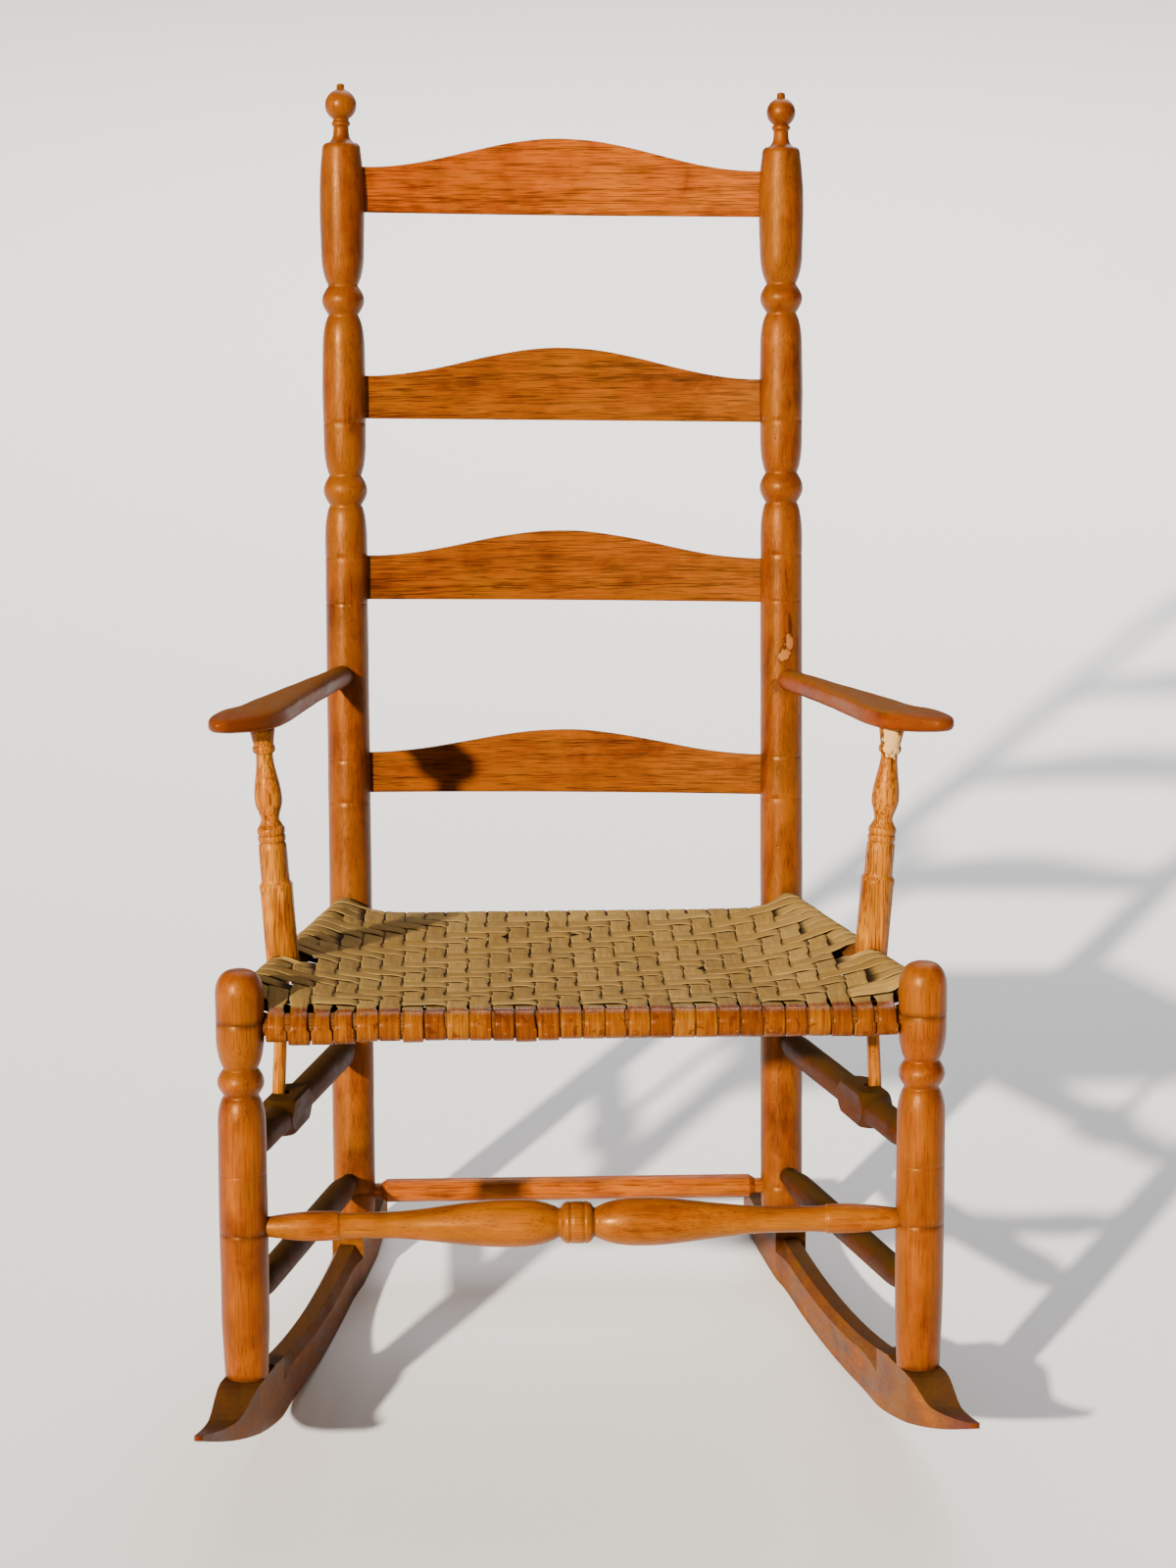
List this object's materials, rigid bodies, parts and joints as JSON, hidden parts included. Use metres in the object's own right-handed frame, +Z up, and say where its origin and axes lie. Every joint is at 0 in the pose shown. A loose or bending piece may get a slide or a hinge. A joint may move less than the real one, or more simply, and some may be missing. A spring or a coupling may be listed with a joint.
{
  "type": "slat-back rocking armchair",
  "caption": "Rocking armchair with turned posts, a tall back of bowed slats, paddle arms on turned supports, a twill-woven splint seat and shaped wooden rockers.",
  "frame": {"origin": "on the floor, under the centre of the chair's bounding box, as it stands leaning back at rest", "axes": "+X to the right as seen from the front, +Y to the back of the chair, +Z up"},
  "size_m": [0.6312, 0.7739, 1.0568],
  "materials": {
    "post_maple": "aged honey varnish, semi-gloss",
    "slat_ash": "aged varnish on open grain, semi-gloss",
    "rail_wood": "aged varnish, satin",
    "stretcher_maple": "aged honey varnish, semi-gloss",
    "arm_maple": "aged varnish, darkened and glossy at the hands",
    "support_ash": "aged varnish on open grain, semi-gloss",
    "rocker_wood": "dark aged varnish over shaved facets, satin",
    "splint": "dry wood splint, varnished over the front rail"
  },
  "bodies": {
    "root": {"rear_post_left": "post_maple", "rear_post_right": "post_maple", "front_post_left": "post_maple", "front_post_right": "post_maple", "slat_bottom": "slat_ash", "slat_lower_middle": "slat_ash", "slat_upper_middle": "slat_ash", "slat_top": "slat_ash", "seat_rail_front": "rail_wood", "seat_rail_rear": "rail_wood", "seat_rail_left": "rail_wood", "seat_rail_right": "rail_wood", "front_stretcher": "stretcher_maple", "rear_stretcher": "stretcher_maple", "side_stretcher_upper_left": "stretcher_maple", "side_stretcher_upper_right": "stretcher_maple", "side_stretcher_lower_left": "stretcher_maple", "side_stretcher_lower_right": "stretcher_maple", "arm_left": "arm_maple", "arm_right": "arm_maple", "arm_support_left": "support_ash", "arm_support_right": "support_ash", "rocker_left": "rocker_wood", "rocker_right": "rocker_wood", "seat_warp": "splint", "seat_weft": "splint"}
  },
  "joints": []
}
